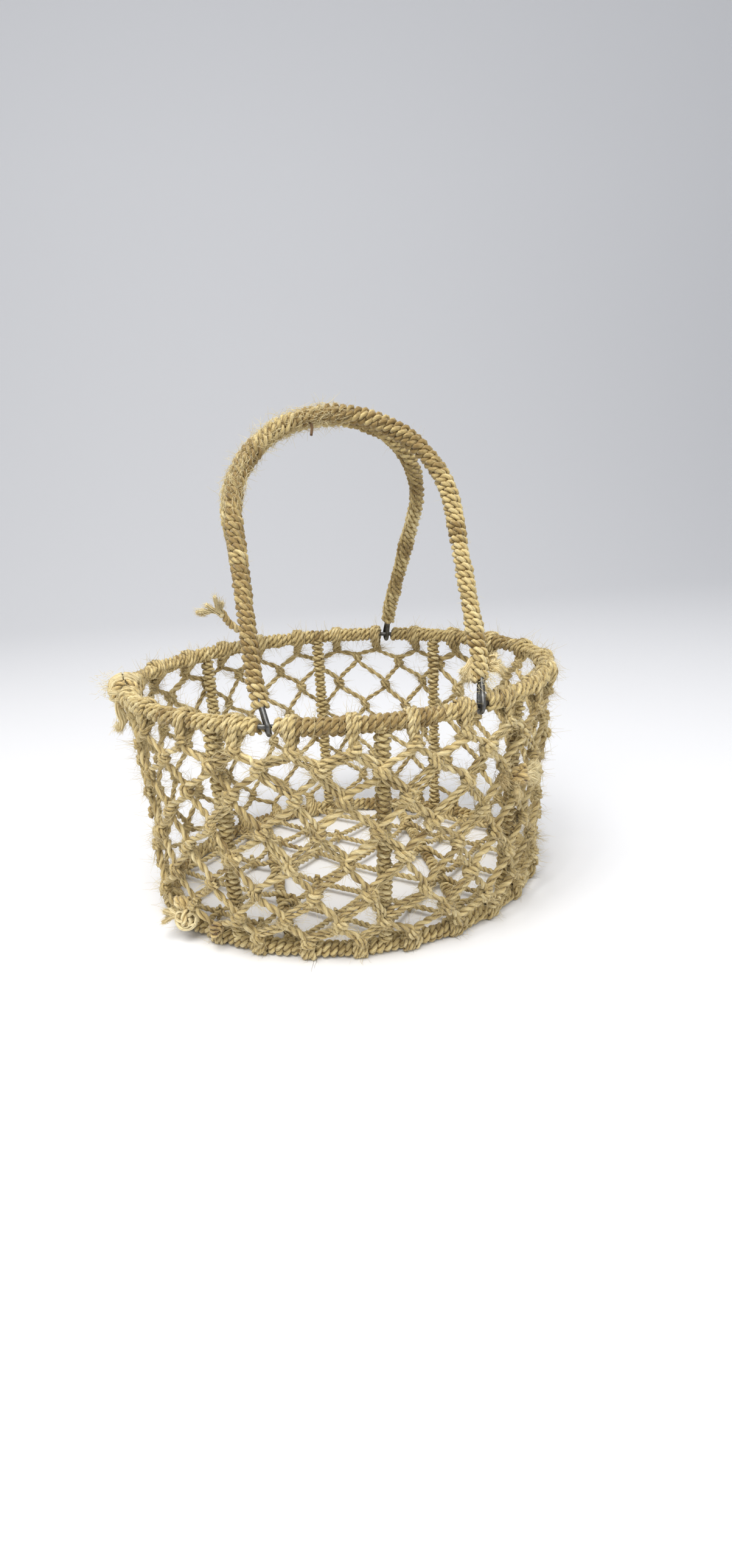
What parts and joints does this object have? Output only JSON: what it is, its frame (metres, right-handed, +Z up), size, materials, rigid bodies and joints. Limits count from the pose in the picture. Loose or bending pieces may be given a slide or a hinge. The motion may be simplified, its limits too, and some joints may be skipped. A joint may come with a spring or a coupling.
{
  "type": "net basket with two bow handles",
  "caption": "Oval open basket of knotted jute net on a jute-wrapped wire frame, with two swinging bow handles hooked on its rim.",
  "frame": {"origin": "under the middle of the basket, on the surface it stands on", "axes": "+Z up, +X along the oval from its left end to its right end, -Y towards the front handle's side"},
  "size_m": [0.3174, 0.2672, 0.3397],
  "materials": {
    "frame_wire": "dark drawn steel wire",
    "wrap_twine": "two-ply jute twine, hairy",
    "net_twine": "two-ply jute twine, knotted",
    "frayed_jute": "untwisted jute fibre"
  },
  "bodies": {
    "basket": {"base_corner_clump": "frayed_jute", "base_hitches": "net_twine", "base_wire": "frame_wire", "base_wrap": "wrap_twine", "floor_bar_wire_left": "frame_wire", "floor_bar_wire_right": "frame_wire", "floor_bar_wrap_left": "wrap_twine", "floor_bar_wrap_right": "wrap_twine", "floor_net_left": "net_twine", "floor_net_middle": "net_twine", "floor_net_right": "net_twine", "net_clump": "frayed_jute", "rib_wire_back_left": "frame_wire", "rib_wire_back_middle": "frame_wire", "rib_wire_back_right": "frame_wire", "rib_wire_front_left": "frame_wire", "rib_wire_front_middle": "frame_wire", "rib_wire_front_right": "frame_wire", "rib_wrap_back_left": "wrap_twine", "rib_wrap_back_middle": "wrap_twine", "rib_wrap_back_right": "wrap_twine", "rib_wrap_front_left": "wrap_twine", "rib_wrap_front_middle": "wrap_twine", "rib_wrap_front_right": "wrap_twine", "rim_end_knot": "frayed_jute", "rim_hitches": "net_twine", "rim_wire": "frame_wire", "rim_wrap_back": "wrap_twine", "rim_wrap_front": "wrap_twine", "rim_wrap_left": "wrap_twine", "rim_wrap_right": "wrap_twine", "side_net": "net_twine"},
    "front_handle": {"front_handle_tufts": "frayed_jute", "front_handle_wire": "frame_wire", "front_handle_wrap": "wrap_twine"},
    "back_handle": {"back_handle_tail": "frayed_jute", "back_handle_wire": "frame_wire", "back_handle_wrap": "wrap_twine"}
  },
  "joints": [
    {"name": "front_handle_swing", "type": "hinge", "parent": "basket", "child": "front_handle", "pos_m": [0, -0.11143, 0.166], "axis": [1, 0, 0], "range_deg": [0, 170]},
    {"name": "back_handle_swing", "type": "hinge", "parent": "basket", "child": "back_handle", "pos_m": [0, 0.11352, 0.166], "axis": [-1, 0, 0], "range_deg": [0, 170]}
  ]
}
